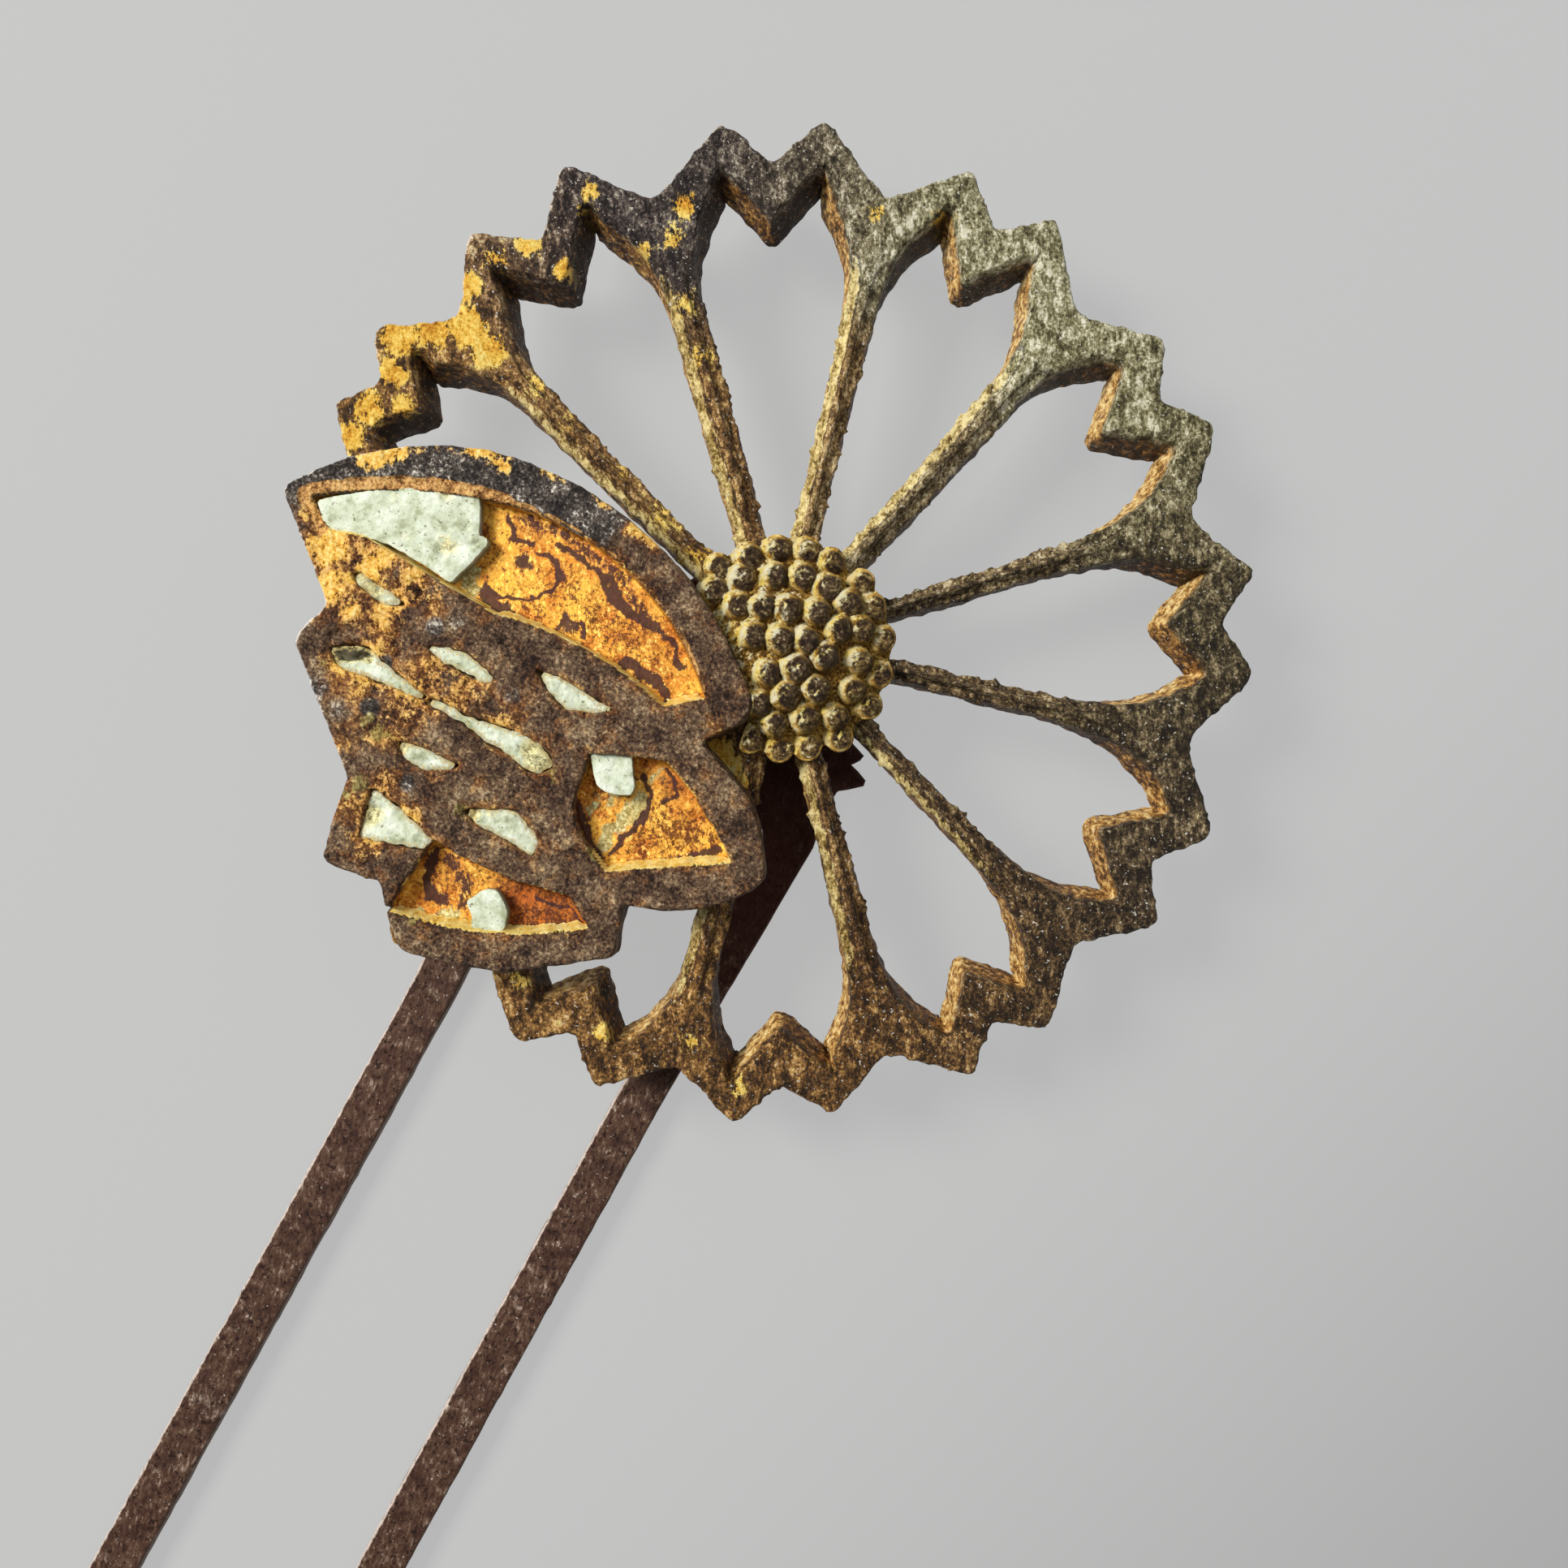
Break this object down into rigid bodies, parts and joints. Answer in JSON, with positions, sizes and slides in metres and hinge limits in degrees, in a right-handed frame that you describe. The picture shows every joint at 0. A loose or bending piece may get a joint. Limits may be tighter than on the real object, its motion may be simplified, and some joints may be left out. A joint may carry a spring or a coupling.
{
  "type": "kanzashi hairpin",
  "caption": "Two-pronged brass hairpin with a pierced chrysanthemum head, a granulated seed head and an inlaid leaf, for holding a coil of hair.",
  "frame": {"origin": "on the flat back of the pin's shoulder plate, under the middle of the flower, on the pin's centre line", "axes": "+Z out of the flower's face, +Y along the pin away from its tips, +X to the right seen from the front with the tips down"},
  "size_m": [0.0393, 0.1323, 0.0071],
  "materials": {
    "flower_brass": "cast brass, worn bright in places, with dark patina and grey-green corrosion",
    "seed_brass": "cast brass, yellow in the recesses, dark on the granules' worn tops",
    "leaf_brass": "cast brass with dark brown patina and orange-gold cell floors",
    "pin_brass": "flat brass strip with matt purple-brown patina",
    "inlay": "pale green-white matt inlay, chipped and specked"
  },
  "bodies": {
    "root": {"flower": "flower_brass", "seed_head": "seed_brass", "leaf": "leaf_brass", "pin": "pin_brass", "inlay_upper": "inlay", "inlay_corner": "inlay", "inlay_right": "inlay", "inlay_lower": "inlay", "inlay_slot_1": "inlay", "inlay_slot_2": "inlay", "inlay_slot_3": "inlay", "inlay_slot_4": "inlay", "inlay_slot_5": "inlay", "inlay_slot_6": "inlay", "inlay_slot_7": "inlay"}
  },
  "joints": []
}
